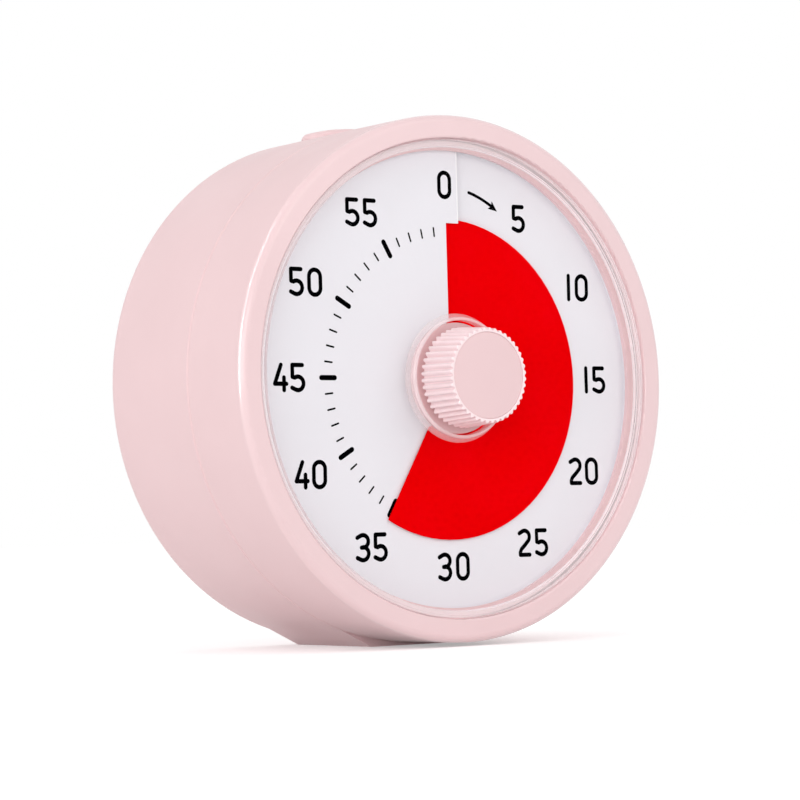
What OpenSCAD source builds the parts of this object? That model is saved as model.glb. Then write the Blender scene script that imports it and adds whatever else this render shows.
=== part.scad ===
// Sixty-minute visual countdown timer.
// A round two-shell drum stands on a low flat under its rear shell. A ribbed knob winds a red disc out
// through a slit in a white dial, and the red sector that is left shows the minutes left.
// Frame: X to the right seen from the front, Y from the bezel into the body, Z up.
// The origin is on the foot's underside below the drum's axis, half-way between bezel plane and back plane.
// Depths are measured along +Y from the bezel's front plane.

/* [Body] */
// Diameter of the drum at the bezel
body_d = 84.4; // [82:0.2:90]
// Depth of the drum from bezel plane to back plane
body_depth = 40; // [39.5:0.5:46]
// Thickness of the drum's side walls and back wall
wall = 2; // [1.6:0.1:2.4]
// Depth of the joint between front and rear shell
seam_depth = 15.3; // [14.5:0.1:17]
// Radius lost to mould draft between bezel and joint
front_draft = 0; // [0:0.05:0.5]
// Radius lost to mould draft between joint and back
rear_draft = 0.1; // [0:0.05:0.6]
// Rounding of the bezel's outer edge
bezel_round = 1.2; // [0.6:0.1:1.8]
// Rounding of the edge round the back
back_round = 2.6; // [1:0.1:3]
// Chamfer on each side of the joint between the shells
seam_chamfer = 0.25; // [0.1:0.05:0.4]
// Width of the bezel ring seen from the front
bezel_w = 3.75; // [3.5:0.05:4.5]
// Width of the flat under the rear shell
foot_w = 16; // [12:1:20]
// Depth of that flat below the drum's lowest line
foot_h = 0.6; // [0.4:0.1:1]

/* [Window] */
// Depth of the window's front face below the bezel plane
window_depth = 1.5; // [1:0.1:2]
// Thickness of the window
window_t = 1.6; // [1.2:0.1:1.8]
// Width of the ledge that carries the window
ledge_w = 1.8; // [1.2:0.1:2.2]
// Thickness of the ledge
ledge_t = 0.9; // [0.8:0.1:1.4]
// Gap round the window
window_gap = 0.2; // [0.1:0.05:0.3]
// Width of the raised lip round the window
lip_w = 1.2; // [0.8:0.1:1.6]
// Depth of the lip's top below the bezel plane
lip_depth = 0.3; // [0.2:0.1:0.8]
// Radius of the hole for the knob in the window's collar
collar_hole_r = 9.2; // [9.1:0.1:10]
// Wall of the collar at its top
collar_top_w = 0.65; // [0.5:0.05:1]
// Wall of the collar at its root
collar_root_w = 1.2; // [0.8:0.05:1.6]

/* [Dial and red disc] */
// Depth of the middle of the dial sheet
dial_depth = 4.6; // [4.5:0.05:4.8]
// Thickness of the dial sheet and of the red disc
sheet_t = 0.2; // [0.15:0.01:0.24]
// Rise of both spiral sheets over one turn
sheet_pitch = 0.9; // [0.86:0.02:1]
// Radius of the hole in the middle of the dial
dial_hole_r = 8; // [7.8:0.1:8.6]
// Radius of the red disc
red_r = 25.8; // [24:0.1:27]
// Distance of the dial's slit from the vertical centre line
slit_x = 2.5; // [2:0.05:3.4]
// Width of the window cut beside the slit for the red disc
slot_w = 2.5; // [1.5:0.1:2.7]
// Height at which that cut starts; it is open towards the hole where this is less than the hole's radius
slot_low = 7; // [6.5:0.1:12]
// Height of the upper end of that cut above the dial's centre
slot_high = 25.1; // [22:0.1:25.5]
// Minutes set at rest
rest_minutes = 35; // [35:1:35]
// Angle that the red disc spans
red_span = 356; // [352:1:357]
// Radius of the red disc's hub
hub_r = 7; // [6:0.1:7.2]

/* [Knob] */
// Height of the knob in front of the bezel plane
knob_h = 6.8; // [5:0.1:9]
// Radius over the knob's ribs at the front
knob_front_r = 7.6; // [7.4:0.1:8]
// Radius over the knob's ribs at the back
knob_back_r = 8.1; // [7.9:0.1:8.3]
// Number of ribs
knob_ribs = 44; // [30:1:52]
// Depth of the grooves between the ribs
rib_depth = 0.42; // [0.2:0.02:0.5]
// Radius of the cap set into the knob's face
cap_r = 6.9; // [5:0.05:6.9]
// Thickness of the cap
cap_t = 1; // [0.6:0.1:1.4]
// Depth of the cap's face below the knob's rim
cap_sink = 0.12; // [0:0.02:0.3]
// Radius of the flange that fills the collar
flange_r = 8.9; // [8.5:0.05:8.9]
// Radius of the arbor
arbor_r = 2.5; // [2:0.1:3]
// Radial clearance of turning and sliding fits
running_gap = 0.05; // [0.02:0.01:0.08]

/* [Gear train] */
// Teeth of the wheel on the arbor
time_teeth = 48; // [48:1:48]
// Teeth of the idler's pinion
idler_pinion_teeth = 16; // [16:1:16]
// Teeth of the idler's wheel
idler_wheel_teeth = 36; // [36:1:36]
// Teeth of the motor's pinion
motor_teeth = 12; // [12:1:12]
// Module of the slow gear pair
slow_module = 0.6; // [0.5:0.02:0.62]
// Module of the fast gear pair
fast_module = 0.5; // [0.4:0.02:0.52]
// Backlash of each gear pair along the pitch circle
backlash = 0.12; // [0.08:0.01:0.16]
// Radius of the drive motor
motor_r = 8; // [7:0.1:8.5]

/* [Back] */
// Diameter of the battery cell
cell_d = 14.2; // [13.5:0.1:14.5]
// Length of the battery cell with its nub
cell_l = 50.5; // [49.2:0.1:50.5]
// Height of the cell's axis below the drum's axis
cell_drop = 14; // [13:0.5:15]
// Length of the compressed contact spring
spring_l = 3.7; // [3:0.1:4.2]
// Wall of the battery bay
bay_wall = 1.4; // [1:0.1:1.6]
// Thickness of the battery door
door_t = 1.5; // [1.2:0.1:1.8]
// Rebate that carries the door round the bay's mouth
door_rebate = 1.7; // [1.4:0.1:2]
// Gap round the door
door_gap = 0.2; // [0.15:0.05:0.3]
// Radius of each magnet
magnet_r = 5; // [4:0.5:5.5]
// Thickness of each magnet
magnet_t = 2; // [1.5:0.1:2.5]
// Radius of each sound hole
sound_hole_r = 0.8; // [0.5:0.1:1]
// Travel of the volume slider
slider_travel = 2; // [1:0.1:2.5]

/* [Top button] */
// Width of the top button across the drum
button_w = 18; // [16:0.5:22]
// Depth of the top button along the drum
button_depth = 8; // [7:0.1:9]
// Distance from the back plane to the button's middle
button_back_gap = 10.5; // [9.8:0.1:11]
// Height of the button over the drum
button_h = 1; // [0.9:0.1:1.4]
// Travel of the button
button_travel = 0.6; // [0.4:0.1:0.8]

/* [Hidden] */
$fn = 96;
pink = [0.93, 0.80, 0.81];
cream = [0.93, 0.92, 0.94];
red = [0.88, 0.02, 0.04];
steel = [0.72, 0.73, 0.75];

// Overlap of cutting tools past a face
cut = 0.5;
// Overlap of pieces fused into one solid
fuse = 0.3;
// Clearance between a moving piece and its surroundings
loose = 0.3;

// Drum
body_r = body_d / 2;
seam_r = body_r - front_draft;
back_r = seam_r - rear_draft;
opening_r = body_r - bezel_w;
inner_r = back_r - wall;
bezel_y = -body_depth / 2;
axis_z = body_r + foot_h;
back_wall_depth = body_depth - wall;

// Window and ledge
window_r = opening_r - window_gap;
window_back = window_depth + window_t;
ledge_r = opening_r - ledge_w;
lip_edge = 0.2;
ledge_back = window_back + ledge_t;

// Dial, its rim and the plate behind it
dial_rim_inner = ledge_r + 0.25;
dial_rim_outer = inner_r - 0.15;
plate_depth = dial_depth + sheet_pitch + 0.5;
plate_t = 1.6;
plate_back = plate_depth + plate_t;
plate_hole_r = hub_r + 0.6;
sheet_step = 4;

// Red disc: it stays half a pitch in front of the swept dial and half a pitch behind the rest
rest_angle = rest_minutes * 6;
rest_travel = sheet_pitch * rest_angle / 360;
red_lead_depth = dial_depth - rest_travel;
hub_front = red_lead_depth - 0.35;
hub_back = red_lead_depth + sheet_pitch + 0.45;

// Shell screws
boss_ring_r = inner_r - 2.7;
boss_r = 3.3;
boss_angles = [40, 140, 220, 320];
screw_r = 1.1;
screw_clear_r = 1.35;
screw_head_r = 2.2;
screw_head_t = 1.5;
screw_seat = seam_depth + 3;
screw_tip = plate_depth + 2.3;
tongue_w = 1.4;

// Knob
grip_back = 0.3;
flange_front = 1.3;
flange_back = 2.6;
knob_neck_r = knob_back_r - rib_depth - 0.1;
knob_boss_back = window_back + 0.1;
knob_boss_r = 4.2;
knob_core_r = 6.1;
knob_face_t = 2.8;
knob_core_top = -(knob_h - knob_face_t);
arbor_sink = 3.6;
arbor_top = -(knob_h - arbor_sink);
arbor_flat = arbor_r - 0.5;
arbor_flat_end = plate_back - 0.2;

// Movement: depths of the layers and places of the axes
case_front = plate_back;
case_wall = 1.5;
case_x = [-30.5, 17];
case_z = [-17, 20.5];
case_round = 3;
wheel_front = case_front + case_wall + 0.3;
wheel_t = 1.4;
idler_step = wheel_front + wheel_t + 0.4;
fast_t = 1.2;
case_back = idler_step + fast_t + 0.4;
cover_t = 1.5;
cover_back = case_back + cover_t;
motor_len = 4;
motor_back = case_back + motor_len;
motor_shaft_l = 2.5;
wheel_boss_r = arbor_r + 2;
wheel_boss_back = wheel_front + wheel_t + 1.2;
washer_t = 0.3;
slow_distance = slow_module * (time_teeth + idler_pinion_teeth) / 2;
fast_distance = fast_module * (idler_wheel_teeth + motor_teeth) / 2;
motor_bearing = 60;
idler_at = [-slow_distance, 0];
motor_at = idler_at + fast_distance * [cos(motor_bearing), sin(motor_bearing)];
idler_pin_r = 1;
motor_shaft_r = 0.75;
pressure_angle = 20;
movement_screw_r = 0.8;
movement_screw_head_r = 1.7;
movement_screw_inset = 3;
movement_screw_tip = plate_depth + 0.4;
pin_seat = 0.5;

// Battery bay
bay_length = cell_l + spring_l + 0.8;
bay_height = cell_d + 1;
bay_depth = cell_d + 1.9;
bay_floor = body_depth - door_t - 0.5 - bay_depth;
cell_depth = bay_floor + cell_d / 2 + 0.4;
contact_t = 0.4;
contact_w = 10;
nub_r = 2.7;
nub_l = 1.2;
cell_start = -bay_length / 2 + contact_t + spring_l;
wire_r = 0.3;
wire_sides = 6;
spring_turns = 3.5;
spring_rings = 56;
spring_wide_r = 4;
spring_taper = 1.6;
spring_low = contact_t - 0.1 + wire_r;
spring_high = contact_t + spring_l - wire_r;
door_size = [bay_length + 2 * door_rebate, bay_height + 2 * door_rebate];
door_corner = 2;
door_rib_w = 1;
door_rib_h = 1.6;
scoop_r = 6;
scoop_depth = 0.9;

// Board and what it carries; places are [x, height above the drum's axis]
board_t = 1.6;
board_room = 7.6;
board_front = back_wall_depth - board_room;
board_back = board_front + board_t;
board_x = [-19, 19];
board_z = [5, 32];
board_posts = [[-16, 8], [16, 8], [-14, 28], [14, 28]];
post_r = 2;
board_screw_r = 0.8;
board_screw_l = 3.5;
chip_at = [-6, 14];
chip_w = 7;
chip_t = 1.6;
crystal_at = [4, 14];
crystal_r = 1;
crystal_l = 6;
buzzer_at = [4, 17.5];
buzzer_r = 7.5;
buzzer_t = 4.6;
volume_at = [-11, 17.5];
volume_size = [9, 4.4];
volume_t = 3.4;
slider_neck = [2, 1.6];
slider_head = [3.6, 2.8];
slider_seat = body_depth - 0.9;

// Magnets beside the drum's axis
magnet_at = [[-31, 3.2], [31, 3.2]];

// Top button and its switch
button_at = body_depth - button_back_gap;
shell_r_at_button = seam_r - rear_draft * (button_at - seam_depth) / (body_depth - seam_depth);
button_top_r = shell_r_at_button + button_h;
button_flange_top_r = inner_r - loose;
button_flange_t = 1;
button_flange_margin = 1.6;
drum_margin = 5;
over_drum = body_r + drum_margin;
button_switch_z = [29.5, 34];
button_switch_w = 6;
plunger_r = 1.5;
plunger_depth = board_front - button_switch_w / 2;
plunger_low = button_switch_z[1] - 0.3;

// ---- Helpers -------------------------------------------------------------------------------------

// Drawing plane at a depth: x to the right, y up, z towards the viewer
module at_depth(depth) translate([0, bezel_y + depth, axis_z]) rotate([90, 0, 0]) children();

// Extrudes a drawing from one depth to a deeper one
module layer(front, back) at_depth(back) linear_extrude(back - front) children();

// Revolves a half section drawn as x = radius, y = depth
module spin() at_depth(0) rotate_extrude() mirror([0, 1]) children();

module disc(front, back, r) at_depth(back) cylinder(h = back - front, r = r);

module at_boss() for (a = boss_angles) translate(boss_ring_r * [sin(a), cos(a)]) children();

module rounded_box(size, r) {
  square([size[0] - 2 * r, size[1]], center = true);
  square([size[0], size[1] - 2 * r], center = true);
  for (x = [-1, 1], y = [-1, 1])
    translate([x * (size[0] / 2 - r), y * (size[1] / 2 - r)]) circle(r);
}

// Rounded rectangle between two corners
module rounded_span(xs, ys, r)
  translate([xs[0] + xs[1], ys[0] + ys[1]] / 2) rounded_box([xs[1] - xs[0], ys[1] - ys[0]], r);

// Stadium outline
module stadium(w, h) {
  square([w - h, h], center = true);
  for (x = [-1, 1]) translate([x * (w - h) / 2, 0]) circle(h / 2);
}

// Sharp corner outside a quarter circle of radius r, drawn at the origin towards +x +y
module corner(r) difference() {
  translate([-cut, -cut]) square(r + cut);
  translate([r, r]) circle(r);
}

// Depth of the dial's middle surface at an angle clockwise from the top
function dial_surface(angle) = dial_depth + sheet_pitch / 2 - sheet_pitch * angle / 360;

// Depth of the red disc's middle surface
function red_surface(angle) = dial_surface(angle) - sheet_pitch / 2;

// Point of a sheet: radius, angle clockwise from the top, depth
function sheet_point(r, angle, depth) = [r * sin(angle), bezel_y + depth, axis_z + r * cos(angle)];

// Angle at which a circle of radius r meets a line that runs upward at x
function line_angle(x, r) = asin(x / r);

// Angular half-width of a gear tooth at radius r
function tooth_half(teeth, mod, r) =
  let (base = mod * teeth / 2 * cos(pressure_angle), lean = acos(min(1, base / r)))
  90 / teeth - backlash / 4 / (mod * teeth / 2) * 180 / PI
  + (tan(pressure_angle) * 180 / PI - pressure_angle) - (tan(lean) * 180 / PI - lean);

// Outline of an involute gear with a tooth centred on angle phase
module gear_outline(teeth, mod, phase) {
  pitch_r = mod * teeth / 2;
  tip_r = pitch_r + 0.9 * mod;
  root_r = pitch_r - 1.25 * mod;
  start_r = max(root_r, pitch_r * cos(pressure_angle));
  radii = [root_r, for (i = [0:3]) start_r + (tip_r - start_r) * i / 3];
  polygon([for (t = [0:teeth - 1], side = [-1, 1], i = [0:4])
    let (r = radii[side < 0 ? i : 4 - i],
         a = phase + t * 360 / teeth + side * tooth_half(teeth, mod, max(r, start_r)))
    r * [cos(a), sin(a)]]);
}

// Spiral sheet between two radii. starts and ends are the edges' angles at the inner and outer radius,
// and rise is the depth of the middle surface at angle 0.
module spiral_sheet(radii, starts, ends, rise) {
  steps = ceil((ends[1] - starts[1]) / sheet_step);
  points = [for (i = [0:steps], k = [0, 1], side = [-1, 1])
    let (a = starts[k] + (ends[k] - starts[k]) * i / steps)
    sheet_point(radii[k], a, rise - sheet_pitch * a / 360 + side * sheet_t / 2)];
  // Each step holds inner front, inner back, outer front, outer back
  faces = [for (i = [0:steps - 1]) let (p = 4 * i, q = p + 4) each [
    [p, p + 2, q + 2], [p, q + 2, q],
    [p + 1, q + 3, p + 3], [p + 1, q + 1, q + 3],
    [p, q, q + 1], [p, q + 1, p + 1],
    [p + 2, p + 3, q + 3], [p + 2, q + 3, q + 2]]];
  last = 4 * steps;
  caps = [[0, 1, 3], [0, 3, 2], [last, last + 2, last + 3], [last, last + 3, last + 1]];
  polyhedron(points, concat(faces, caps));
}

// Screw along the depth: its head starts at head_front and its shank runs forward to tip
module screw(head_r, head_t, shank_r, head_front, tip) {
  disc(head_front, head_front + head_t, head_r);
  disc(tip, head_front + fuse, shank_r);
}

// ---- Housing -------------------------------------------------------------------------------------

// Low foot: a flat whose sides run into the drum almost as tangents
module foot() {
  half = foot_w / 2;
  inside_r = back_r - wall / 8;
  lean = atan(half / axis_z) + acos(inside_r / norm([half, axis_z]));
  meet = inside_r * [sin(lean), -cos(lean)];
  layer(seam_depth + 2 * seam_chamfer, body_depth - back_round - cut) difference() {
    polygon([[0, 0], [-meet[0], meet[1]], [-half, -axis_z], [half, -axis_z], meet]);
    circle(inner_r + wall / 2);
  }
}

module front_housing() color(pink) {
  difference() {
    union() {
      spin() difference() {
        polygon([[opening_r, 0], [body_r, 0], [body_r, bezel_round],
          [seam_r, seam_depth - seam_chamfer], [seam_r - seam_chamfer, seam_depth],
          [inner_r, seam_depth], [inner_r, ledge_back], [ledge_r, ledge_back],
          [ledge_r, window_back], [opening_r, window_back]]);
        translate([body_r, 0]) mirror([1, 0]) corner(bezel_round);
        translate([opening_r, 0]) corner(bezel_w / 12);
      }
      layer(plate_depth, seam_depth) at_boss() circle(boss_r);
    }
    layer(screw_tip - 1, seam_depth + cut) at_boss() circle(screw_r);
  }
}

module rear_housing() color(pink) {
  difference() {
    union() {
      spin() difference() {
        polygon([[0, back_wall_depth], [inner_r, back_wall_depth], [inner_r, seam_depth],
          [seam_r - seam_chamfer, seam_depth], [seam_r, seam_depth + seam_chamfer],
          [back_r, body_depth - back_round], [back_r, body_depth], [0, body_depth]]);
        translate([back_r, body_depth]) mirror([1, 0]) mirror([0, 1]) corner(back_round);
      }
      // Tongue that holds the dial plate against the front shell's ledge
      spin() translate([inner_r - 0.15 - tongue_w, plate_back])
        square([tongue_w, seam_depth - plate_back + 2]);
      spin() translate([inner_r - 0.3 - tongue_w / 2, seam_depth]) square([tongue_w / 2 + 0.5, 2]);
      layer(seam_depth, back_wall_depth + fuse) at_boss() circle(boss_r);
      foot();
      layer(bay_floor - bay_wall, back_wall_depth + fuse) translate([0, -cell_drop])
        square([bay_length + 2 * bay_wall, bay_height + 2 * bay_wall], center = true);
      for (p = board_posts) layer(board_back, back_wall_depth + fuse) translate(p) circle(post_r);
      for (p = magnet_at)
        layer(body_depth - magnet_t - 1.2, back_wall_depth + fuse) translate(p) circle(magnet_r + 1.4);
    }
    // Shell screws
    layer(seam_depth - cut, screw_seat + cut) at_boss() circle(screw_clear_r);
    layer(screw_seat, body_depth + cut) at_boss() circle(screw_head_r + 0.25);
    layer(plate_back - cut, seam_depth) at_boss() circle(boss_r + loose);
    // Battery bay and the door's rebate
    layer(bay_floor, body_depth + cut) translate([0, -cell_drop])
      square([bay_length, bay_height], center = true);
    layer(body_depth - door_t, body_depth + cut) translate([0, -cell_drop])
      rounded_box(door_size, door_corner);
    translate([0, bezel_y, axis_z]) door_finger_scoop();
    // Sound holes
    layer(back_wall_depth - cut, body_depth + cut) translate(buzzer_at) sound_holes();
    // Volume slider: dish and slot
    layer(slider_seat, body_depth + cut) translate(volume_at)
      rounded_box([slider_head[0] + slider_travel + 2, slider_head[1] + 1.6], 1.2);
    layer(back_wall_depth - cut, body_depth + cut) translate(volume_at)
      square([slider_neck[0] + slider_travel + 2 * loose, slider_neck[1] + 2 * loose], center = true);
    for (p = board_posts)
      layer(board_back - cut, back_wall_depth) translate(p) circle(board_screw_r);
    for (p = magnet_at)
      layer(body_depth - magnet_t, body_depth + cut) translate(p) circle(magnet_r);
    // Opening for the top button
    translate([0, bezel_y + button_at, axis_z]) linear_extrude(over_drum)
      stadium(button_w + 2 * loose, button_depth + 2 * loose);
  }
}

module sound_holes() {
  circle(sound_hole_r);
  for (ring = [1, 2], i = [0:6 * ring - 1])
    rotate(i * 60 / ring) translate([2.6 * ring, 0]) circle(sound_hole_r);
}

// Scoop beside the battery door for a fingertip
module door_finger_scoop()
  translate([door_size[0] / 2, body_depth + scoop_r - scoop_depth, -cell_drop]) sphere(r = scoop_r);

module battery_door() color(pink) {
  difference() {
    layer(body_depth - door_t, body_depth) translate([0, -cell_drop])
      rounded_box(door_size - 2 * door_gap * [1, 1], door_corner - door_gap);
    translate([0, bezel_y, axis_z]) door_finger_scoop();
  }
  // Ribs that grip inside the bay's mouth
  for (side = [-1, 1]) layer(body_depth - door_t - door_rib_h, body_depth - door_t + fuse)
    translate([0, side * (bay_height / 2 - door_gap - door_rib_w / 2) - cell_drop])
      square([bay_length * 0.6, door_rib_w], center = true);
}

// ---- Window, dial and red disc -------------------------------------------------------------------

module lens() color([0.95, 0.95, 0.97, 0.3]) spin() polygon([
  [collar_hole_r, 0], [collar_hole_r + collar_top_w, 0],
  [collar_hole_r + collar_root_w, window_depth], [window_r - lip_w, window_depth],
  [window_r - lip_w + lip_edge, lip_depth + lip_edge], [window_r - lip_w + 2 * lip_edge, lip_depth],
  [window_r - lip_edge, lip_depth], [window_r, lip_depth + lip_edge],
  [window_r, window_back], [collar_hole_r, window_back]]);

module dial() color(cream) {
  difference() {
    spiral_sheet([dial_hole_r, dial_rim_inner + fuse],
      [line_angle(slit_x, dial_hole_r), line_angle(slit_x, dial_rim_inner + fuse)],
      [360 + line_angle(slit_x, dial_hole_r), 360 + line_angle(slit_x, dial_rim_inner + fuse)],
      dial_depth + sheet_pitch / 2);
    // Cut in the raised lip, through which the red disc is seen entering the slit
    layer(dial_depth - sheet_pitch / 2 - 1, dial_depth)
      translate([slit_x - slot_w, slot_low]) square([slot_w + cut, slot_high - slot_low]);
  }
  spin() translate([dial_rim_inner, ledge_back])
    square([dial_rim_outer - dial_rim_inner, plate_depth - ledge_back]);
}

module dial_plate() color(cream) difference() {
  disc(plate_depth, plate_back, dial_rim_outer);
  disc(plate_depth - cut, plate_back + cut, plate_hole_r);
  layer(plate_depth - cut, plate_back + cut) at_boss() circle(boss_r + loose);
  layer(plate_depth - cut, plate_back + cut) at_movement_screws() circle(movement_screw_r);
}

module time_disc() color(red) {
  inner = hub_r - fuse;
  span = [rest_angle - red_span, rest_angle];
  spiral_sheet([inner, red_r], [span[0], span[0]], [span[1], span[1]], dial_depth);
}

// Outline of the arbor and of the bores that turn with it
module keyed_outline(gap) intersection() {
  circle(arbor_r + gap);
  translate([-arbor_r - 1, -arbor_r - 1]) square([2 * arbor_r + 2, arbor_r + 1 + arbor_flat + gap]);
}

module disc_hub() color(red) difference() {
  disc(hub_front, hub_back, hub_r);
  layer(hub_front - cut, hub_back + cut) keyed_outline(running_gap);
}

// ---- Knob and arbor ------------------------------------------------------------------------------

// Ribbed outline: round ribs with narrow grooves between them
module rib_outline(r) {
  points = 6;
  polygon([for (i = [0:knob_ribs * points - 1])
    let (a = i * 360 / (knob_ribs * points), wave = abs(sin(a * knob_ribs / 2)))
    (r - rib_depth * pow(1 - wave, 1.5)) * [cos(a), sin(a)]]);
}

module knob() color(pink) difference() {
  union() {
    at_depth(grip_back) linear_extrude(knob_h + grip_back, scale = knob_front_r / knob_back_r)
      rib_outline(knob_back_r);
    disc(grip_back - fuse, flange_front + fuse, knob_neck_r);
    disc(flange_front, flange_back, flange_r);
    disc(0, knob_boss_back, knob_boss_r);
  }
  // Recess for the cap
  disc(-knob_h - cut, -knob_h + cap_sink + cap_t, cap_r);
  // Moulded hollow between grip and boss
  difference() {
    disc(knob_core_top, flange_back + cut, knob_core_r);
    disc(knob_core_top - cut, flange_back + 2 * cut, knob_boss_r);
  }
  layer(arbor_top, knob_boss_back + cut) keyed_outline(0);
}

module knob_cap() color(pink)
  disc(-knob_h + cap_sink, -knob_h + cap_sink + cap_t, cap_r);

module arbor() color(steel) {
  layer(arbor_top, arbor_flat_end) keyed_outline(0);
  disc(arbor_flat_end - fuse, cover_back - pin_seat, arbor_r);
}

// ---- Movement ------------------------------------------------------------------------------------

module at_movement_screws() for (x = [0, 1], z = [0, 1])
  translate([case_x[x] + (x == 0 ? 1 : -1) * movement_screw_inset,
    case_z[z] + (z == 0 ? 1 : -1) * movement_screw_inset]) children();

module movement_case() color([0.2, 0.2, 0.22]) difference() {
  union() {
    difference() {
      layer(case_front, case_back) rounded_span(case_x, case_z, case_round);
      layer(case_front + case_wall, case_back + cut)
        rounded_span(case_x + case_wall * [1, -1], case_z + case_wall * [1, -1], case_round - 1);
    }
    layer(case_front, case_back) at_movement_screws() circle(movement_screw_inset);
  }
  disc(case_front - cut, case_front + case_wall + cut, arbor_r + running_gap);
  layer(case_front + pin_seat, case_front + case_wall + cut) translate(idler_at) circle(idler_pin_r);
  layer(case_front - cut, case_back + cut) at_movement_screws() circle(movement_screw_r + 0.15);
}

// Cover with a round cup for the motor and a bearing for the arbor
module movement_cover() color([0.2, 0.2, 0.22]) difference() {
  union() {
    layer(case_back, cover_back) rounded_span(case_x, case_z, case_round);
    layer(case_back, motor_back + cover_t) translate(motor_at) circle(motor_r + cover_t);
  }
  layer(case_back - cut, motor_back) translate(motor_at) circle(motor_r + loose / 2);
  disc(case_back - cut, cover_back + cut, arbor_r + running_gap);
  layer(case_back - cut, cover_back - pin_seat) translate(idler_at) circle(idler_pin_r);
  layer(case_back - cut, cover_back + cut) at_movement_screws() circle(movement_screw_r + 0.15);
}

module movement_screws() color(steel)
  for (x = [0, 1], z = [0, 1])
    translate([case_x[x] + (x == 0 ? 1 : -1) * movement_screw_inset, 0,
      case_z[z] + (z == 0 ? 1 : -1) * movement_screw_inset])
      screw(movement_screw_head_r, 1, movement_screw_r, cover_back, movement_screw_tip);

module time_wheel() color([0.9, 0.85, 0.7]) difference() {
  union() {
    layer(wheel_front, wheel_front + wheel_t) gear_outline(time_teeth, slow_module, 0);
    disc(wheel_front, wheel_boss_back, wheel_boss_r);
  }
  disc(wheel_front - cut, wheel_boss_back + cut, arbor_r);
}

module clutch_washer() color(steel) difference() {
  disc(wheel_boss_back, wheel_boss_back + washer_t, wheel_boss_r);
  disc(wheel_front, wheel_boss_back + washer_t + cut, arbor_r);
}

module idler_gear() color([0.9, 0.85, 0.7]) difference() {
  union() {
    layer(wheel_front, idler_step + fuse) translate(idler_at)
      gear_outline(idler_pinion_teeth, slow_module, 180 / idler_pinion_teeth);
    layer(idler_step, idler_step + fast_t) translate(idler_at)
      gear_outline(idler_wheel_teeth, fast_module, 0);
  }
  layer(wheel_front - cut, idler_step + fast_t + cut) translate(idler_at)
    circle(idler_pin_r + running_gap);
}

module idler_pin() color(steel)
  layer(case_front + pin_seat, cover_back - pin_seat) translate(idler_at) circle(idler_pin_r);

module motor_pinion() color([0.9, 0.85, 0.7]) {
  layer(idler_step, idler_step + fast_t) translate(motor_at)
    gear_outline(motor_teeth, fast_module, motor_bearing + 180 + 180 / motor_teeth);
  layer(idler_step + fast_t - fuse, case_back + motor_shaft_l) translate(motor_at)
    circle(motor_shaft_r);
}

module drive_motor() color(steel) difference() {
  layer(case_back, motor_back) translate(motor_at) circle(motor_r);
  layer(case_back - cut, case_back + motor_shaft_l + cut) translate(motor_at)
    circle(motor_shaft_r + running_gap);
}

// ---- Electronics ---------------------------------------------------------------------------------

module circuit_board() color([0.1, 0.4, 0.2]) difference() {
  layer(board_front, board_back) rounded_span(board_x, board_z, 2);
  for (p = board_posts) layer(board_front - cut, board_back + cut) translate(p) circle(board_screw_r);
}

module board_screws() color(steel) for (p = board_posts) translate([p[0], 0, p[1]]) {
  disc(board_front - 0.9, board_front, 1.6);
  disc(board_front - fuse, board_back + board_screw_l, board_screw_r);
}

module buzzer() color([0.15, 0.15, 0.16]) difference() {
  layer(board_back, board_back + buzzer_t) translate(buzzer_at) circle(buzzer_r);
  layer(board_back + buzzer_t - 1, board_back + buzzer_t + cut) translate(buzzer_at) circle(1.2);
}

module control_chip() color([0.1, 0.1, 0.1])
  layer(board_front - chip_t, board_front) translate(chip_at) square(chip_w, center = true);

module quartz_crystal() color(steel)
  translate([crystal_at[0], bezel_y + board_front - crystal_r, axis_z + crystal_at[1]])
    rotate([0, 90, 0]) cylinder(h = crystal_l, r = crystal_r);

module volume_switch() color([0.15, 0.15, 0.16]) difference() {
  layer(board_back, board_back + volume_t) translate(volume_at) square(volume_size, center = true);
  layer(board_back + 1.4, board_back + volume_t + cut) translate(volume_at)
    square([slider_neck[0] + slider_travel + 2 * loose, slider_neck[1] + 2 * loose], center = true);
}

module volume_slider() color(pink) translate([-slider_travel / 2, 0, 0]) {
  layer(board_back + 1.7, slider_seat + loose + fuse) translate(volume_at)
    square(slider_neck, center = true);
  layer(slider_seat + loose, body_depth) translate(volume_at)
    square([slider_head[0] - 0.6, slider_head[1]], center = true);
}

module button_switch() color([0.15, 0.15, 0.16]) difference() {
  translate([-button_switch_w / 2, bezel_y + board_front - button_switch_w,
    axis_z + button_switch_z[0]])
    cube([button_switch_w, button_switch_w, button_switch_z[1] - button_switch_z[0]]);
  translate([0, bezel_y + plunger_depth, axis_z + plunger_low - button_travel - loose])
    cylinder(h = over_drum, r = plunger_r + loose);
}

module top_button() color(pink) {
  translate([0, bezel_y + button_at, axis_z]) intersection() {
    linear_extrude(over_drum) stadium(button_w, button_depth);
    rotate([-90, 0, 0]) difference() {
      cylinder(h = body_depth, r = button_top_r, center = true);
      cylinder(h = body_depth + 2, r = button_flange_top_r - button_flange_t, center = true);
    }
  }
  translate([0, bezel_y + button_at, axis_z]) intersection() {
    linear_extrude(over_drum)
      stadium(button_w + 2 * button_flange_margin, button_depth + 2 * button_flange_margin);
    rotate([-90, 0, 0]) difference() {
      cylinder(h = body_depth, r = button_flange_top_r, center = true);
      cylinder(h = body_depth + 2, r = button_flange_top_r - button_flange_t, center = true);
    }
  }
  translate([0, bezel_y + plunger_depth, axis_z + plunger_low])
    cylinder(h = button_flange_top_r - 0.5 - plunger_low, r = plunger_r);
}

// ---- Battery, magnets and screws -----------------------------------------------------------------

// Space of the cell: x runs along the cell from the middle of the bay
module in_bay(x) translate([x, bezel_y + cell_depth, axis_z - cell_drop]) rotate([0, 90, 0]) children();

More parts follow.
